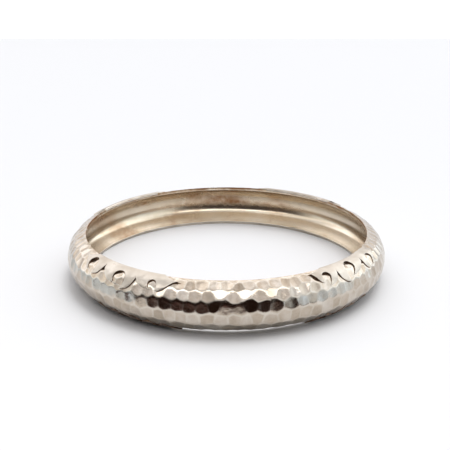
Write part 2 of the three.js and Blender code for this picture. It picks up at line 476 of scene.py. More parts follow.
# %% [markdown]
# ## The filed foot
# The lower rim was filed flat, and the ring isn't quite true: in front the rim stands clear of the table,
# which leaves a slit of light between the feet, and at the back it lies almost on the table.

# %% The filed foot
FRONT_FOOT = 0.55                   # the rim's height over the table in front
BACK_FOOT = 0.03                    # and at the back
RIM_EDGE = PLATE_LIFT + 1.1 * EASED     # the rim's eased edge lies below this height


def foot_height(azimuth):
    return BACK_FOOT + (FRONT_FOOT - BACK_FOOT) * ((1 + math.cos(azimuth)) / 2)


def file_foot(bm):
    for vert in bm.verts:
        foot = foot_height(math.atan2(vert.co.x, -vert.co.y))
        if vert.co.z < max(foot, RIM_EDGE):
            vert.co.z = foot


print("The rim lies", [round(foot_height(math.radians(a)), 2) for a in (0, 90, 180)],
      "mm over the table in front, at the sides and behind")

# %% [markdown]
# ## Building the band
# Now the steps run in order, from the spun pot to the pressed honeycomb. The lip below was rubbed with the
# plates, so it gets their finish. Smooth shading rounds off everything, so the filed foot's edge is marked
# as crisp.

# %% Building the band
CRISP = math.radians(60)            # a bend sharper than this is an edge


def to_object(bm, name):
    bmesh.ops.scale(bm, vec=(MM, MM, MM), verts=bm.verts)
    mesh = bpy.data.meshes.new(name)
    bm.to_mesh(mesh)
    bm.free()
    piece = bpy.data.objects.new(name, mesh)
    bpy.context.scene.collection.objects.link(piece)
    mesh.shade_smooth()
    return piece


def tell(name, bm):
    open_edges = sum(1 for e in bm.edges if len(e.link_faces) != 2)
    triangles = sum(len(f.verts) - 2 for f in bm.faces)
    print(name, "has", triangles, "triangles and", open_edges, "open edges")


def is_lip(face):
    inside = face.material_index == INSIDE and face.calc_center_median().z < MID_HEIGHT
    return inside and all(v.co.xy.length < INNER_RADIUS + 0.5 * EASED for v in face.verts)


def make_band():
    bm = bmesh.new()
    spin_section(bm, outer_section(), 2 * MARKS, OUTSIDE)
    spin_section(bm, inner_section(), 2 * MARKS, INSIDE)
    bmesh.ops.remove_doubles(bm, verts=bm.verts, dist=0.001)
    for face in bm.faces:
        if is_lip(face):
            face.material_index = LIP
    brick_wall(bm)
    move_corners(bm)
    print("The honeycomb has", refine(bm), "cells")
    press(bm)
    paint_stains(bm)
    file_foot(bm)
    bmesh.ops.recalc_face_normals(bm, faces=bm.faces)
    tell("hammered_band", bm)
    piece = to_object(bm, "hammered_band")
    piece.data.set_sharp_from_angle(angle=CRISP)
    return piece


band = make_band()

# %% [markdown]
# ## The plates' places
# Each plate is a strip of thin sheet with three lobes along its lower edge and a keyhole in each. There is
# a pair in front, left and right, and a pair behind, and each has a twin on the lower rim, which the bangle
# stands on. They were sawn by hand, so no two lobes are alike, and each is measured on its own.

# %% The plates' places
# A point between two lobes is (degrees round from the front, depth from the rim). A keyhole has the same for
# its middle, then its radius, the width of its neck, how far the neck leans to the right, and how deep the
# lobes beside it reach on the left and on the right.
Keyhole = namedtuple("Keyhole", "degrees depth radius neck lean left right")
PLATES = {
    "front_left": {"points": ((-58.5, 1.2), (-45.4, 1.0), (-30.6, 1.6), (-15.8, 1.1)),
                   "holes": (Keyhole(-51.8, 2.15, 1.4, 1.7, 0.2, 3.6, 3.9),
                             Keyhole(-37.1, 2.65, 1.5, 1.6, 0.2, 3.9, 4.6),
                             Keyhole(-24.2, 2.3, 0.9, 1.3, 0.3, 3.35, 3.5))},
    "front_right": {"points": ((28.6, 0.8), (39.3, 1.4), (53.6, 1.2), (65.4, 1.2)),
                    "holes": (Keyhole(34.2, 2.1, 1.05, 1.3, -0.4, 3.0, 3.8),
                              Keyhole(45.8, 1.95, 1.4, 1.3, -0.7, 4.5, 3.6),
                              Keyhole(58.8, 2.5, 1.2, 1.4, -0.5, 4.1, 3.9))},
    "back_right": {"points": ((120.0, 1.6), (134.8, 2.0), (149.6, 1.8), (164.5, 1.4)),
                   "holes": (Keyhole(127.2, 2.3, 1.1, 1.4, 0.2, 3.8, 4.2),
                             Keyhole(142.4, 2.4, 1.4, 1.4, -0.2, 4.3, 4.4),
                             Keyhole(156.6, 2.3, 1.0, 1.3, 0.3, 3.9, 3.6))},
    "back_left": {"points": ((210.0, 1.3), (224.6, 1.9), (239.2, 2.1), (253.8, 1.6)),
                  "holes": (Keyhole(217.5, 2.2, 1.0, 1.3, -0.3, 3.5, 4.0),
                            Keyhole(231.7, 2.4, 1.4, 1.5, 0.2, 4.5, 4.2),
                            Keyhole(246.8, 2.4, 1.1, 1.4, -0.2, 4.1, 3.7))},
}
# The lower plates don't sit exactly under the upper ones: they are turned to the right by these degrees.
LOWER_TURN = {"front_left": 1.0, "front_right": -1.0, "back_right": 4.0, "back_left": -5.0}
print(2 * len(PLATES), "plates")

# %% [markdown]
# ## Drawing a plate
# The outline is drawn as a jeweller scribes it on the flat sheet: straight along the rim, with a thin tip
# at each end, and back along the lobes, in and out of each keyhole. Bezier points give it its sweep with
# few numbers. Each handle's length is given one by one.

# %% Drawing a plate
PLATE_SCALE = 34.0                  # flat millimetres for each radian round the ring
TIP_LENGTH = 3.2                    # how far a point sticks out past where the plate leaves the rim
TIP_SWEEP, TIP_SAG = 0.6, 0.75      # the tip's curve towards the rim, as shares of its length and depth
TIP_BACK, TIP_RISE = 0.4, 0.1       # the handle from a plate's end towards its tip
TIP_LEAVE, TIP_FALL = 0.3, 0.15     # and the one from the end towards the first lobe
LOBE_PULL, END_PULL = 0.6, 0.45     # how full a lobe is, and how full the last one is
CUSP_PULL, CUSP_LEAN = 0.45, 0.1    # how steeply two lobes meet
ROUND = 0.5523                      # the handle that makes a quarter of a circle, for a radius of 1
HOLE_DROP = 1.4                     # a keyhole's sides run this much straighter down to its neck


def flat_x(degrees, start):
    return PLATE_SCALE * math.radians(degrees - start)


def outline(points, holes):
    """Bezier points as (x, y, left handle, right handle): along the rim first, and back along the lobes."""
    start = points[0][0]
    places = [(flat_x(degrees, start), depth) for degrees, depth in points]
    path = []

    def add(x, y, left=None, right=None):
        path.append(((x, y), left or (x, y), right or (x, y)))

    (left_end, left_depth), (right_end, right_depth) = places[0], places[-1]
    add(left_end + TIP_LENGTH, 0, left=(left_end + TIP_SWEEP * TIP_LENGTH, TIP_SAG * left_depth))
    add(right_end - TIP_LENGTH, 0, right=(right_end - TIP_SWEEP * TIP_LENGTH, TIP_SAG * right_depth))
    for i in reversed(range(3)):
        (a, a_depth), (b, b_depth), hole = places[i], places[i + 1], holes[i]
        x, depth, radius = flat_x(hole.degrees, start), hole.depth, hole.radius
        neck_left, neck_right = x + hole.lean - hole.neck / 2, x + hole.lean + hole.neck / 2
        last, first = i == 2, i == 0
        if last:
            add(b, b_depth, left=(b - TIP_BACK, b_depth - TIP_RISE),
                right=(b - TIP_LEAVE * (b - x), b_depth + TIP_FALL))
        pull = (END_PULL if last else LOBE_PULL) * (b - neck_right)
        add(neck_right, hole.right, left=(neck_right + pull, hole.right))
        k = ROUND * radius
        add(x + radius, depth, left=(x + radius, depth + HOLE_DROP * k), right=(x + radius, depth - k))
        add(x, depth - radius, left=(x + k, depth - radius), right=(x - k, depth - radius))
        add(x - radius, depth, left=(x - radius, depth - k), right=(x - radius, depth + HOLE_DROP * k))
        pull = (END_PULL if first else LOBE_PULL) * (neck_left - a)
        add(neck_left, hole.left, right=(neck_left - pull, hole.left))
        if first:
            add(a, a_depth, left=(a + TIP_LEAVE * (x - a), a_depth + TIP_FALL),
                right=(a + TIP_BACK, a_depth - TIP_RISE))
        else:
            before = holes[i - 1]
            add(a, a_depth, left=(a + CUSP_LEAN, a_depth + CUSP_PULL * (hole.left - a_depth)),
                right=(a - CUSP_LEAN, a_depth + CUSP_PULL * (before.right - a_depth)))
    return path


print("An outline has", len(outline(**PLATES["front_left"])), "points")

# %% [markdown]
# ## Sawing it out
# A filled curve gives the sawn outline with its rounded edge, flat on the bench, in one step. Extruding a
# face and bevelling its rim would take three. Every plate is sawn twice: once as itself, and once thinner
# and a little larger, as the line of solder that shows round it.

# %% Sawing it out
PLATE_THICK = 0.75                  # of which a part is sunk in the solder
EDGE_ROUND = 0.06
SEAM = 0.15                         # how far the dark line of solder shows round a plate
SEAM_THICK, SEAM_ROUND = 0.2, 0.02
BENCH_GAP = 10.0                    # the seam's sheet lies this far under the plate's while both are flat
TOUCHING = 0.0001                   # points this near are one


def sawn_sheet(path, thick, grow, edge_round):
    """A flat sheet with this outline, grown outwards, and with a rounded edge, as a mesh."""
    curve = bpy.data.curves.new("outline", "CURVE")
    curve.dimensions = "2D"
    curve.fill_mode = "BOTH"
    curve.resolution_u = 8
    curve.extrude = thick / 2 - edge_round
    curve.bevel_depth = edge_round
    curve.bevel_resolution = 2
    curve.offset = grow - edge_round
    spline = curve.splines.new("BEZIER")
    spline.bezier_points.add(len(path) - 1)
    for point, (place, left, right) in zip(spline.bezier_points, path):
        point.handle_left_type = point.handle_right_type = "FREE"
        point.co = (*place, 0)
        point.handle_left = (*left, 0)
        point.handle_right = (*right, 0)
    spline.use_cyclic_u = True
    holder = bpy.data.objects.new("outline", curve)
    bpy.context.scene.collection.objects.link(holder)
    bpy.context.view_layer.update()
    mesh = bpy.data.meshes.new_from_object(holder)
    bpy.data.objects.remove(holder)
    return mesh


def plate_and_seam(points, holes):
    bm = bmesh.new()
    path = outline(points, holes)
    for thick, grow, edge_round, down in ((PLATE_THICK, 0.0, EDGE_ROUND, 0.0),
                                          (SEAM_THICK, SEAM, SEAM_ROUND, BENCH_GAP)):
        mesh = sawn_sheet(path, thick, grow, edge_round)
        for vert in mesh.vertices:
            vert.co.z -= down
        bm.from_mesh(mesh)
        bpy.data.meshes.remove(mesh)
    bmesh.ops.remove_doubles(bm, verts=bm.verts, dist=TOUCHING)
    bmesh.ops.dissolve_limit(bm, angle_limit=math.radians(1), verts=bm.verts, edges=bm.edges)
    return bm


print("The solder shows", SEAM, "mm wide round a plate")

# %% [markdown]
# ## Slicing and thinning
# A flat face can't bend, so the sheet is sliced into small squares first. It is also hammered down over the
# shoulder of the dome and thin towards the lobes' ends, but nowhere below the ground it lies on.

# %% Slicing and thinning
SLICE = 0.45                        # size of the squares
DEEPEST_LOBE = 4.65                 # from the rim to the lowest place of any lobe
RIM_RIDE = 0.15                     # at the rim a plate stands this much above its lift
SHOULDER_WIDTH, SHOULDER_DROP = 1.2, 0.2    # over this far from the rim it comes down by this much
END_FROM, END_LENGTH = 1.5, 2.3     # where the lobes begin to thin, and over what length
THINNING = 0.3                      # how much lower the lobes' ends lie
THINNEST = 0.14                     # and how thin they may get


def slice_sheet(bm, length):
    for axis, reach in ((0, length), (1, DEEPEST_LOBE + SEAM)):
        for step in range(1, math.ceil(reach / SLICE)):
            place = [0, 0, 0]
            normal = [0, 0, 0]
            place[axis] = step * SLICE
            normal[axis] = 1
            everything = bm.verts[:] + bm.edges[:] + bm.faces[:]
            bmesh.ops.bisect_plane(bm, geom=everything, dist=TOUCHING, plane_co=place, plane_no=normal)


def plate_top(down):
    """How far above the dome the top of the sheet lies, this far from the rim."""
    shoulder = min(1.0, down / SHOULDER_WIDTH)
    end = max(0.0, min(1.0, (down - END_FROM) / END_LENGTH))
    return PLATE_LIFT + RIM_RIDE - SHOULDER_DROP * shoulder - THINNING * end * end * (3 - 2 * end)


print("A plate's top lies", [round(plate_top(down), 2) for down in (0, 2, 4)],
      "mm above the dome, at 0, 2 and 4 mm from the rim")

# %% [markdown]
# ## Where it stays dark
# Solder and sawn walls keep a black film that the polishing takes off everywhere else. On the walls it is
# kept only where they face away from the rim, the walls in shade, so that part is painted shade. Three
# things break it up. The necks of the keyholes were scraped clean. On the front plates, only the side of
# each lobe towards the middle of the front, the side in shade, keeps its dark line of solder: painted shade.
# And the lower plates, in the shade against the table, are painted darker all over as painted shade, but for
# the part over the rim.

# %% Where it stays dark
SATIN, OXIDE, SMOKED = 0, 1, 2      # material slots of the plates; only the lower ones get the darker copy that is painted shade
SEAM_FROM = 0.7                     # nearer the rim than this, no solder shows
SAWN_FROM = 0.3                     # and nearer than this, the sawn wall is bright
RIM_PART = 1.0                      # the part of a lower plate over the rim that stays bright
SCRAPED = 0.35                      # how far beside a neck the scraper reached
NECK_FROM = 0.3                     # where a neck begins under its hole's middle, as a share of the radius
RINGED = 0.3                        # how far round a hole the solder is always dark
# Keeping the dark film only on walls that face away from the rim, the walls in shade, is partly painted
# shade.
STEEP = 0.3                         # a wall's normal points less up or down than this
RIMWARD = -0.2                      # and a wall whose normal points more to the rim than this stays bright


def in_a_neck(place, start, holes):
    for hole in holes:
        x = flat_x(hole.degrees, start) + hole.lean
        if place.y > hole.depth + NECK_FROM * hole.radius and abs(place.x - x) < hole.neck / 2 + SCRAPED:
            return True
    return False


# On a front plate, the dark line of solder is kept only on the side of each lobe towards the middle of the
# front, the side in shade: painted shade.
def on_a_dark_side(place, start, points, holes):
    side = 1 if start < 0 else -1
    for (a, _), (b, _), hole in zip(points, points[1:], holes):
        x = flat_x(hole.degrees, start)
        if flat_x(a, start) <= place.x <= flat_x(b, start):
            inside = (place.x - x) ** 2 + (place.y - hole.depth) ** 2 < (hole.radius + RINGED) ** 2
            return inside or side * (place.x - x) > 0
    return True


def plate_slot(face, name, points, holes, side):
    start = points[0][0]
    middle = face.calc_center_median()
    seam = middle.z < -BENCH_GAP / 2 and middle.y > SEAM_FROM
    if seam and name.startswith("plate_front"):
        seam = on_a_dark_side(middle, start, points, holes)
    sawn = abs(face.normal.z) < STEEP and face.normal.y > RIMWARD and middle.y > SAWN_FROM
    if (sawn or seam) and not in_a_neck(middle, start, holes):
        return OXIDE
    return SMOKED if side < 0 and middle.y > RIM_PART else SATIN


print("A lower plate is bright over", RIM_PART, "mm from the rim")

# %% [markdown]
# ## Forming a plate
# Last the sliced sheet is formed over the shoulder of the dome, as the smith does before soldering. A lower
# plate is formed like an upper one and then turned over.

# %% Forming a plate
PLATE_DROP = 0.25                   # the lobes were pulled down by this much as they were bent over
LOWER_SCALE = 0.8                   # the lower plates are shallower
SHOULDER = BEND                     # flat millimetres for each radian over the dome
SEAM_PROUD = 0.035                  # how far the seam stands above the hammered silver
SEAM_SUNK = 0.3                     # and how deep it is sunk in it


def form_plate(name, points, holes, side, turn):
    start = points[0][0]
    depth_scale = 1.0 if side > 0 else LOWER_SCALE
    bm = plate_and_seam(points, holes)
    slice_sheet(bm, flat_x(points[-1][0], start))
    for face in bm.faces:
        face.normal_update()
        face.material_index = plate_slot(face, name, points, holes, side)
    for vert in bm.verts:
        azimuth = math.radians(start + turn) + vert.co.x / PLATE_SCALE
        drop = PLATE_DROP * min(1.0, max(0.0, vert.co.y))
        crown = RIM_CROWN - depth_scale * (vert.co.y + drop) / SHOULDER
        ground = hammered(azimuth, side * crown)[0]
        if vert.co.z < -BENCH_GAP / 2:
            lift = ground + (SEAM_PROUD if vert.co.z > -BENCH_GAP else -SEAM_SUNK)
        else:
            lift = vert.co.z - PLATE_THICK / 2 + max(plate_top(vert.co.y), ground + THINNEST)
        place = dome_point(azimuth, crown, lift)
        place.z = min(place.z, HEIGHT)
        vert.co = place
        if side < 0:
            vert.co.z = HEIGHT - place.z
    bmesh.ops.recalc_face_normals(bm, faces=bm.faces)
    tell(name, bm)
    return to_object(bm, name)


plates = []
for place, plate in PLATES.items():
    for side, level, turn in ((1, "upper", 0.0), (-1, "lower", LOWER_TURN[place])):
        plates.append(form_plate(f"plate_{place}_{level}", plate["points"], plate["holes"], side, turn))

# %% [markdown]
# ## Finishes
# First some helpers. One turns a hex colour into linear light. One adds a node with its settings and links.
# One turns the size of a blotch into the scale of a noise: the noises lie in object coordinates, in metres,
# so the scale is the number of blotches in a metre, and a blotch keeps its size whatever the shape does.

# %% Helpers for materials
def linear(hex_colour):
    channels = [int(hex_colour[i:i + 2], 16) / 255 for i in (1, 3, 5)]
    return [c / 12.92 if c <= 0.04045 else ((c + 0.055) / 1.055) ** 2.4 for c in channels] + [1.0]


def per_metre(millimetres):
    return 1 / (millimetres * MM)


def add_node(tree, kind, settings=None, inputs=None, stops=()):
    """Settings are the node's properties, an input is a value or a socket to link, stops are a ramp's."""
    node = tree.nodes.new("ShaderNode" + kind)
    for key, value in (settings or {}).items():
        setattr(node, key, value)
    for key, value in (inputs or {}).items():
        if isinstance(value, bpy.types.NodeSocket):
            tree.links.new(value, node.inputs[key])
        else:
            node.inputs[key].default_value = value
    for index, (place, colour) in enumerate(stops):
        elements = node.color_ramp.elements
        element = elements[index] if index < len(elements) else elements.new(place)
        element.position, element.color = place, colour
    return node


def new_material(name):
    material = bpy.data.materials.new(name)
    material.use_nodes = True
    material.node_tree.nodes.clear()
    print("Material:", name)
    return material, material.node_tree


# Settings of a Mix node that blends two colours, and of one that multiplies them.
COLOURS = {"data_type": "RGBA"}
TIMES = {"data_type": "RGBA", "blend_type": "MULTIPLY"}
print("Middle grey #808080 is", round(linear("#808080")[0], 3), "in linear light")

# %% [markdown]
# ## Hammered silver
# Sterling silver, struck with a polished hammer and then worn. The hammer's face leaves each bowl nearly a
# mirror, so every bowl shows a small picture of the room. Air and skin lay a thin warm film over it, in
# blotches of about 3 mm, and each bowl took it a little differently. The ridges rub against sleeves and
# tables: there the film is worn off, and scratched, so they are duller. They are also painted lighter,
# partly for that wear and partly as a painted highlight, so that they show as light lines in every bowl.
# Real scratches are hundredths of a millimetre wide, too fine to show, so a faint bump of 1 mm blotches
# stands for them.

# %% Hammered silver
def hammered_silver():
    material, tree = new_material("hammered_sterling_silver")
    place = add_node(tree, "TexCoord").outputs["Object"]
    tone = add_node(tree, "Attribute", {"attribute_name": "tone"}).outputs["Fac"]
    ridge = add_node(tree, "Attribute", {"attribute_name": "ridge"}).outputs["Fac"]
    film = add_node(tree, "TexNoise", inputs={"Vector": place, "Scale": per_metre(3.0), "Detail": 5,
                                              "Roughness": 0.65}).outputs["Fac"]
    uneven = add_node(tree, "Math", {"operation": "MULTIPLY_ADD"}, {0: tone, 1: 0.35, 2: film}).outputs[0]
    colour = add_node(tree, "ValToRGB", inputs={"Fac": uneven}, stops=(
        (0.35, linear("#D3CCC2")), (0.55, linear("#C8BDB0")), (0.75, linear("#BCAF9F")),
        (0.95, linear("#AB9E8E")))).outputs["Color"]
    wear = add_node(tree, "TexNoise", inputs={"Vector": place, "Scale": per_metre(2.4)}).outputs["Fac"]
    worn = add_node(tree, "MapRange", inputs={"Value": wear, "From Min": 0.35, "From Max": 0.6,
                                              "To Min": 0.2, "To Max": 0.85}).outputs["Result"]
    rubbed = add_node(tree, "Math", {"operation": "MULTIPLY"}, {0: ridge, 1: worn}).outputs[0]
    # The lighter colour on the ridges is partly wear and partly a painted highlight.
    bare = add_node(tree, "Mix", COLOURS, {"Factor": rubbed, "A": colour, "B": linear("#D6CFC3")})
    polish = add_node(tree, "MapRange", inputs={
        "Value": film, "To Min": 0.08, "To Max": 0.2}).outputs["Result"]
    rough = add_node(tree, "MapRange", inputs={"Value": rubbed, "To Min": polish, "To Max": 0.26})
    scratches = add_node(tree, "TexNoise", inputs={"Vector": place, "Scale": per_metre(1.0), "Detail": 4})
    bump = add_node(tree, "Bump", inputs={
        "Height": scratches.outputs["Fac"], "Strength": 0.14, "Distance": 0.2 * MM})
    shader = add_node(tree, "BsdfPrincipled", inputs={
        "Base Color": bare.outputs["Result"], "Metallic": 1.0, "Roughness": rough.outputs["Result"],
        "Normal": bump.outputs["Normal"]})
    add_node(tree, "OutputMaterial", inputs={"Surface": shader.outputs["BSDF"]})
    return material


hammered_finish = hammered_silver()

# %% [markdown]
# ## Tarnished inside
# The same silver inside was only pulled over a former and pickled, never polished, and no cloth reaches it.
# It is smooth, but yellow with tarnish in clouds of about a centimetre. Where the mesh is painted darker, in
# the hollow and under the rim, it turns brown and dull, broken up by blotches of 4 mm: painted shade under
# the rim, a painted reflection on the band across the back, and darker patches elsewhere.

# %% Tarnished inside
def tarnished_silver():
    material, tree = new_material("tarnished_sterling_silver")
    place = add_node(tree, "TexCoord").outputs["Object"]
    # The spots, painted shade and painted reflection stored on the mesh turn the silver brown and dull here.
    stain = add_node(tree, "Attribute", {"attribute_name": "stain"}).outputs["Fac"]
    film = add_node(tree, "TexNoise", inputs={"Vector": place, "Scale": per_metre(11.0), "Detail": 5,
                                              "Roughness": 0.6}).outputs["Fac"]
    colour = add_node(tree, "ValToRGB", inputs={"Fac": film}, stops=(
        (0.3, linear("#E0D4C3")), (0.55, linear("#D8C9B2")), (0.72, linear("#BFA387")))).outputs["Color"]
    spots = add_node(tree, "TexNoise", inputs={"Vector": place, "Scale": per_metre(3.8), "Detail": 4,
                                               "Roughness": 0.65}).outputs["Fac"]
    patchy = add_node(tree, "MapRange", inputs={"Value": spots, "From Min": 0.32, "From Max": 0.62})
    dirt = add_node(tree, "Math", {"operation": "MULTIPLY", "use_clamp": True},
                    {0: stain, 1: patchy.outputs["Result"]}).outputs[0]
    brown = add_node(tree, "Mix", COLOURS, {"Factor": dirt, "A": colour, "B": linear("#9A7352")})
    smooth = add_node(tree, "MapRange", inputs={
        "Value": film, "To Min": 0.12, "To Max": 0.3}).outputs["Result"]
    rough = add_node(tree, "MapRange", inputs={"Value": dirt, "To Min": smooth, "To Max": 0.5})
    shader = add_node(tree, "BsdfPrincipled", inputs={
        "Base Color": brown.outputs["Result"], "Metallic": 1.0, "Roughness": rough.outputs["Result"]})
    add_node(tree, "OutputMaterial", inputs={"Surface": shader.outputs["BSDF"]})
    return material


tarnished = tarnished_silver()

# %% [markdown]
# ## Satin plates
# The plates were filed and rubbed with fine paper after they were soldered on. That leaves them softly
# shiny, with no clear picture of the room, and a little uneven, in dents of about 1.6 mm. The rim that lies
# on the table got the same rubbing.

# %% Satin plates
def satin_silver():
    material, tree = new_material("satin_sterling_silver")
    place = add_node(tree, "TexCoord").outputs["Object"]
    film = add_node(tree, "TexNoise", inputs={
        "Vector": place, "Scale": per_metre(3.3), "Detail": 4}).outputs["Fac"]
    colour = add_node(tree, "ValToRGB", inputs={"Fac": film}, stops=(
        (0.35, linear("#CBC3B8")), (0.7, linear("#B5AB9E"))))
    rough = add_node(tree, "MapRange", inputs={"Value": film, "To Min": 0.22, "To Max": 0.4})
    dents = add_node(tree, "TexNoise", inputs={"Vector": place, "Scale": per_metre(1.6), "Detail": 3})
    bump = add_node(tree, "Bump", inputs={
        "Height": dents.outputs["Fac"], "Strength": 0.5, "Distance": 0.4 * MM})
    shader = add_node(tree, "BsdfPrincipled", inputs={
        "Base Color": colour.outputs["Color"], "Metallic": 1.0, "Roughness": rough.outputs["Result"],
        "Normal": bump.outputs["Normal"]})
    add_node(tree, "OutputMaterial", inputs={"Surface": shader.outputs["BSDF"]})
    return material


satin = satin_silver()

# %% [markdown]
# ## Shaded lower plates
# The lower plates lie against the table, in the shade under the bangle, so they get a darker, grey-brown
# copy of the satin: painted shade. They are as soft as the upper ones, but much darker.

# %% Shaded lower plates, painted shade
# A darker copy of the satin for the lower plates: painted shade.
def smoked_silver():
    material, tree = new_material("painted_shade_sterling_silver")
    place = add_node(tree, "TexCoord").outputs["Object"]
    film = add_node(tree, "TexNoise", inputs={"Vector": place, "Scale": per_metre(3.3), "Detail": 4})
    colour = add_node(tree, "ValToRGB", inputs={"Fac": film.outputs["Fac"]}, stops=(
        (0.35, linear("#8F8074")), (0.7, linear("#5F5048"))))
    shader = add_node(tree, "BsdfPrincipled", inputs={
        "Base Color": colour.outputs["Color"], "Metallic": 1.0, "Roughness": 0.4})
    add_node(tree, "OutputMaterial", inputs={"Surface": shader.outputs["BSDF"]})
    return material


smoked = smoked_silver()

# %% [markdown]
# ## Oxidised seams
# The smith dips a finished piece in liver of sulphur, which blackens all of it, and polishes the high
# places bright again. The sawn walls and the line of solder beside them keep the black. What is left there
# is thin, so it looks brown, with specks of about a millimetre.

# %% Oxidised seams
def oxidised_silver():
    material, tree = new_material("oxidised_sterling_silver")
    place = add_node(tree, "TexCoord").outputs["Object"]
    specks = add_node(tree, "TexNoise", inputs={"Vector": place, "Scale": per_metre(1.1), "Detail": 3})
    colour = add_node(tree, "ValToRGB", inputs={"Fac": specks.outputs["Fac"]}, stops=(
        (0.35, linear("#4A372B")), (0.7, linear("#8F755F"))))
    shader = add_node(tree, "BsdfPrincipled", inputs={
        "Base Color": colour.outputs["Color"], "Metallic": 1.0, "Roughness": 0.45})
    add_node(tree, "OutputMaterial", inputs={"Surface": shader.outputs["BSDF"]})
    return material


oxide = oxidised_silver()

# %% [markdown]
# ## Handing out the finishes
# Every face already has the number of its finish, from when it was made, so what is left is to give each
# mesh its materials in the order of those numbers. The band has three: hammered, tarnished and, on the lip,
# satin. A plate is satin with oxide along its walls, and a lower one also gets a darker copy of the satin as
# painted shade.

# %% Handing out the finishes
for finish in (hammered_finish, tarnished, satin):
    band.data.materials.append(finish)
for plate in plates:
    for finish in (satin, oxide, smoked) if plate.name.endswith("lower") else (satin, oxide):
        plate.data.materials.append(finish)
print("Finishes:", [material.name for material in bpy.data.materials])

# %% [markdown]
# ## Paper, cotton and felt
# A mirror is as beautiful as what stands around it, so what the bangle lies among comes next. White paper
# is pressed pulp, the cloth is woven cotton and the felt is matted wool. All three are matte, so none shows
# a picture of the room. The felt has big clouds of dye, so that neighbouring bowls show different browns.

# %% Paper, cotton and felt
def white_paper():
    material, tree = new_material("white_paper")
    shader = add_node(tree, "BsdfPrincipled", inputs={
        "Base Color": linear("#E0E1E3"), "Roughness": 0.9, "Specular IOR Level": 0.1})
    add_node(tree, "OutputMaterial", inputs={"Surface": shader.outputs["BSDF"]})
    return material


def blue_cloth():
    material, tree = new_material("blue_cotton_cloth")
    shader = add_node(tree, "BsdfPrincipled", inputs={
        "Base Color": linear("#CEDAE4"), "Roughness": 0.9, "Specular IOR Level": 0.1})
    add_node(tree, "OutputMaterial", inputs={"Surface": shader.outputs["BSDF"]})
    return material


def brown_felt():
    material, tree = new_material("brown_wool_felt")
    place = add_node(tree, "TexCoord").outputs["Object"]
    dye = add_node(tree, "TexNoise", inputs={"Vector": place, "Scale": per_metre(45.0)})
    colour = add_node(tree, "ValToRGB", inputs={"Fac": dye.outputs["Fac"]}, stops=(
        (0.4, linear("#1D1512")), (0.48, linear("#4E251E")), (0.56, linear("#2F1915")),
        (0.66, linear("#564C38"))))
    shader = add_node(tree, "BsdfPrincipled", inputs={
        "Base Color": colour.outputs["Color"], "Roughness": 0.9, "Specular IOR Level": 0.1})
    add_node(tree, "OutputMaterial", inputs={"Surface": shader.outputs["BSDF"]})
    return material


paper, cotton, wool = white_paper(), blue_cloth(), brown_felt()

# %% [markdown]
# ## The table and the cards
# The bangle lies on the paper. Whoever shows silver lays dark felt before it, so that its belly gets a dark
# band with crisp edges, and a blue-grey cloth beside it, to cool that side. Both show in reflections alone
# here, so the paper looks clean all round.

# %% The table and the cards
TABLE_SIZE = 900                    # half the length of a side
CARD_SIZE = 1500                    # and half the length of a card's side
FELT_DISTANCE = 77.0                # from the middle of the bangle to the felt's edge
FELT_TURN = -12                     # degrees: the felt comes closer on the left
CLOTH_DISTANCE = 56.0
CLOTH_END = 40.0                    # how far behind the middle the cloth still lies
FELT_LIFT, CLOTH_LIFT = 0.1, 0.06   # each lies just over what is under it


def lay_sheet(name, half_size, place, degrees, material):
    bm = bmesh.new()
    bmesh.ops.create_grid(bm, x_segments=1, y_segments=1, size=half_size)
    bmesh.ops.translate(bm, verts=bm.verts, vec=place)
    turn = Matrix.Rotation(math.radians(degrees), 3, "Z")
    bmesh.ops.rotate(bm, verts=bm.verts, cent=(0, 0, 0), matrix=turn)
    sheet = to_object(bm, name)
    sheet.data.materials.append(material)
    print("The", name, "is", 2 * half_size, "mm square")
    return sheet


lay_sheet("table", TABLE_SIZE, (0, 0, 0), 0, paper)
felt_place = (0, -CARD_SIZE - FELT_DISTANCE, FELT_LIFT)
cloth_place = (-CARD_SIZE - CLOTH_DISTANCE, CLOTH_END - CARD_SIZE, CLOTH_LIFT)
felt = lay_sheet("felt", CARD_SIZE, felt_place, FELT_TURN, wool)
cloth = lay_sheet("cloth", CARD_SIZE, cloth_place, 0, cotton)
for card in (felt, cloth):
    card.visible_camera = card.visible_diffuse = card.visible_shadow = False

# %% [markdown]
# ## The room overhead
# The bangle reflects a room much more than it is lit by it, so the room is drawn as a picture by direction.
# In front, where one stands to look, it is dark up to about 35 degrees. From there over the top to the back
# it gets lighter. A colour ramp along that arch holds it all.

# %% The room overhead
DARK_FRONT = (0.01, 0.005, 0.0035, 1.0)
FRONT_TILT = 0.25                   # the dark front reaches higher on the left
# How bright the room is over the bangle, in degrees from low in front, over the top, to low behind.
OVERHEAD = ((0, 0.0), (32, 0.0), (35, 0.12), (39, 0.34), (46, 0.46), (58, 0.42), (66, 0.36), (74, 0.32),
            (84, 0.36), (92, 0.48), (102, 0.62), (113, 0.72), (122, 0.82), (140, 0.84), (152, 0.66),
            (160, 0.55), (172, 0.45), (180, 0.45))


def grey(level):
    return (level, level, 1.03 * level, 1.0)


def over_the_top(tree, x, y, z):
    """The room along the arch from the front over the top to the back."""
    front = add_node(tree, "Math", {"operation": "MULTIPLY"}, {0: y, 1: -1.0}).outputs[0]
    angle = add_node(tree, "Math", {"operation": "ARCTAN2"}, {0: z, 1: front}).outputs[0]
    tilted = add_node(tree, "Math", {"operation": "MULTIPLY_ADD"},
                      {0: x, 1: FRONT_TILT, 2: angle}).outputs[0]
    share = add_node(tree, "Math", {"operation": "DIVIDE"}, {0: tilted, 1: math.pi}).outputs[0]
    stops = [(degrees / 180, grey(level) if level else DARK_FRONT) for degrees, level in OVERHEAD]
    return add_node(tree, "ValToRGB", inputs={"Fac": share}, stops=stops).outputs["Color"]


print("Straight overhead the room's brightness is", dict(OVERHEAD)[92])

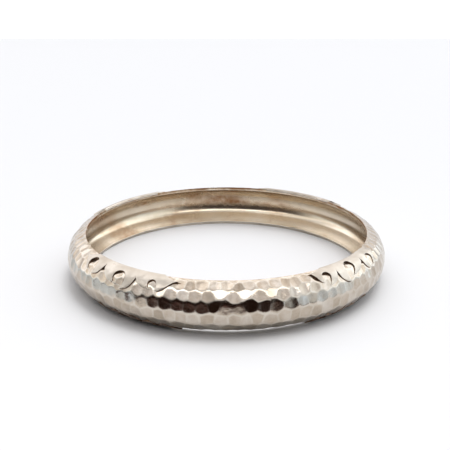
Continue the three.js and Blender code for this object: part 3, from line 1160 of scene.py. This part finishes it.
# %% [markdown]
# ## The side walls
# At the sides stand pale walls, bluish and dim near the floor. There the right one is the lighter of the
# two, and higher up the left one is, by a little. Both are lighter behind than in front.

# %% The side walls
LOW_TINT = (0.88, 1.0, 1.12, 1.0)
LEFT_LIGHT = (0.85, 0.88, 0.9, 1.0)
RIGHT_LIGHT = (0.8, 0.84, 0.88, 1.0)


def side_walls(tree, x, y, z):
    """Dim and bluish near the floor, lighter higher up, and lighter behind than in front."""
    sides = {"Value": x, "From Min": -1, "From Max": 1}
    dim = add_node(tree, "MapRange", inputs={**sides, "To Min": 0.5, "To Max": 0.6}).outputs["Result"]
    low = add_node(tree, "Mix", TIMES, {"Factor": 1.0, "A": dim, "B": LOW_TINT}).outputs["Result"]
    rightward = add_node(tree, "MapRange", inputs=sides).outputs["Result"]
    high = add_node(tree, "Mix", COLOURS, {"Factor": rightward, "A": LEFT_LIGHT, "B": RIGHT_LIGHT})
    rise = add_node(tree, "MapRange", inputs={
        "Value": z, "From Min": 0.08, "From Max": 0.3}).outputs["Result"]
    walls = add_node(tree, "Mix", COLOURS, {"Factor": rise, "A": low, "B": high.outputs["Result"]})
    behind = add_node(tree, "MapRange", inputs={"Value": y, "From Min": -0.4, "From Max": 0.5,
                                                "To Min": 0.65, "To Max": 1.25}).outputs["Result"]
    return add_node(tree, "Mix", TIMES, {
        "Factor": 1.0, "A": walls.outputs["Result"], "B": behind}).outputs["Result"]


print("Near the floor the walls' blue is", LOW_TINT[2], "times their grey")

# %% [markdown]
# ## The whole room
# Arch and walls are put together, and large faint blotches keep them from looking like a computer's sky.
# Two switches go by what a ray of light is for. Rays that light the paper count low directions less, so
# that the shadow under the bangle stays soft and dark. Rays straight from the camera see plain white.

# %% The whole room
WALL_SHIFT = 0.13                   # the right wall comes further in than the left one
WALL_FROM, WALL_FULL = 0.71, 0.85   # how far sideways a direction points where a wall begins and is full
LOW_SHARE, HIGH_SHARE = 0.08, 1.3   # how much low and high directions count when they light the paper
BACKDROP = 0.7                      # what the camera sees past the paper, as a share of the room's light
ROOM_LIGHT = 2.4


def white_room():
    world = bpy.data.worlds.new("white_room")
    bpy.context.scene.world = world
    world.use_nodes = True
    tree = world.node_tree
    tree.nodes.clear()
    direction = add_node(tree, "TexCoord").outputs["Generated"]
    parts = add_node(tree, "SeparateXYZ", inputs={"Vector": direction}).outputs
    x, y, z = parts["X"], parts["Y"], parts["Z"]
    shifted = add_node(tree, "Math", {"operation": "ADD"}, {0: x, 1: WALL_SHIFT}).outputs[0]
    outward = add_node(tree, "Math", {"operation": "ABSOLUTE"}, {0: shifted}).outputs[0]
    sideways = add_node(tree, "MapRange", inputs={
        "Value": outward, "From Min": WALL_FROM, "From Max": WALL_FULL})
    room = add_node(tree, "Mix", COLOURS, {
        "Factor": sideways.outputs["Result"], "A": over_the_top(tree, x, y, z),
        "B": side_walls(tree, x, y, z)}).outputs["Result"]
    blotch = add_node(tree, "TexNoise", inputs={"Vector": direction, "Scale": 4.5}).outputs["Fac"]
    tint = add_node(tree, "ValToRGB", inputs={"Fac": blotch}, stops=(
        (0.36, linear("#D2CBC2")), (0.5, linear("#F2F2F1")), (0.6, linear("#FFFFFF")))).outputs["Color"]
    room = add_node(tree, "Mix", TIMES, {"Factor": 1.0, "A": room, "B": tint}).outputs["Result"]
    path = add_node(tree, "LightPath").outputs
    from_above = add_node(tree, "MapRange", inputs={
        "Value": z, "From Min": 0.4, "From Max": 0.9,
        "To Min": LOW_SHARE, "To Max": HIGH_SHARE}).outputs["Result"]
    weight = add_node(tree, "MapRange", inputs={"Value": path["Is Diffuse Ray"], "To Min": 1.0,
                                                "To Max": from_above}).outputs["Result"]
    room = add_node(tree, "Mix", TIMES, {"Factor": 1.0, "A": room, "B": weight}).outputs["Result"]
    seen = add_node(tree, "Mix", COLOURS, {"Factor": path["Is Camera Ray"], "A": room, "B": grey(BACKDROP)})
    sky = add_node(tree, "Background", inputs={"Color": seen.outputs["Result"], "Strength": ROOM_LIGHT})
    add_node(tree, "OutputWorld", inputs={"Surface": sky.outputs["Background"]})


white_room()
print("The room is", bpy.context.scene.world.name)

# %% [markdown]
# ## The lamps
# A lamp can do two jobs: light the paper, or show as a highlight in the silver. On a mirror the two need
# different shapes, so each lamp here does one. A narrow bar over the felt draws the bright line along the
# hollow inside and the white flashes over the belly, and a small lamp on the left draws the highlight
# inside on the right. A large panel high up, a little to the right, lights the paper and gives the shadow
# its soft edge, and a weak warm one in front keeps that shadow from going black.

# %% The lamps
def add_lamp(name, place, aim, size, brightness, job, colour=(1.0, 1.0, 1.0)):
    """A flat lamp, in millimetres. A brightness of 1 is that of paper that looks just white."""
    lamp = bpy.data.lights.new(name, "AREA")
    lamp.shape = "RECTANGLE"
    lamp.size, lamp.size_y = size[0] * MM, size[1] * MM
    lamp.energy = math.pi * lamp.size * lamp.size_y * brightness
    lamp.color = colour
    holder = bpy.data.objects.new(name, lamp)
    holder.location = Vector(place) * MM
    holder.rotation_euler = (Vector(aim) - Vector(place)).to_track_quat("-Z", "Y").to_euler()
    holder.visible_camera = False
    holder.visible_diffuse = job == "light"
    holder.visible_glossy = job == "highlight"
    bpy.context.scene.collection.objects.link(holder)
    print(name, "gives", round(1000 * lamp.energy), "mW")


add_lamp("bar_lamp", (-25, -78, 115), (-25, -78, 0), (230, 36), 2.08, "highlight")
add_lamp("side_lamp", (-64, 0, 105), (-20, 0, 0), (34, 120), 0.5, "highlight")
add_lamp("ceiling_panel", (920, 160, 5600), (0, 0, 0), (3200, 2400), 4.9, "light")
add_lamp("front_fill", (0, -66, 116), (0, -66, 0), (240, 52), 0.42, "light", (1.0, 0.9, 0.78))
bpy.context.scene.view_settings.view_transform = "Standard"

# %% [markdown]
# ## Ride and finish
# Nothing on a bangle moves by itself, so every piece rides on the root. All of them together stand in for
# the one soldered body of the CAD model, and all are silver.

# %% Ride and finish
for piece in [band] + plates:
    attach(piece, "root")
    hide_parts("bangle")
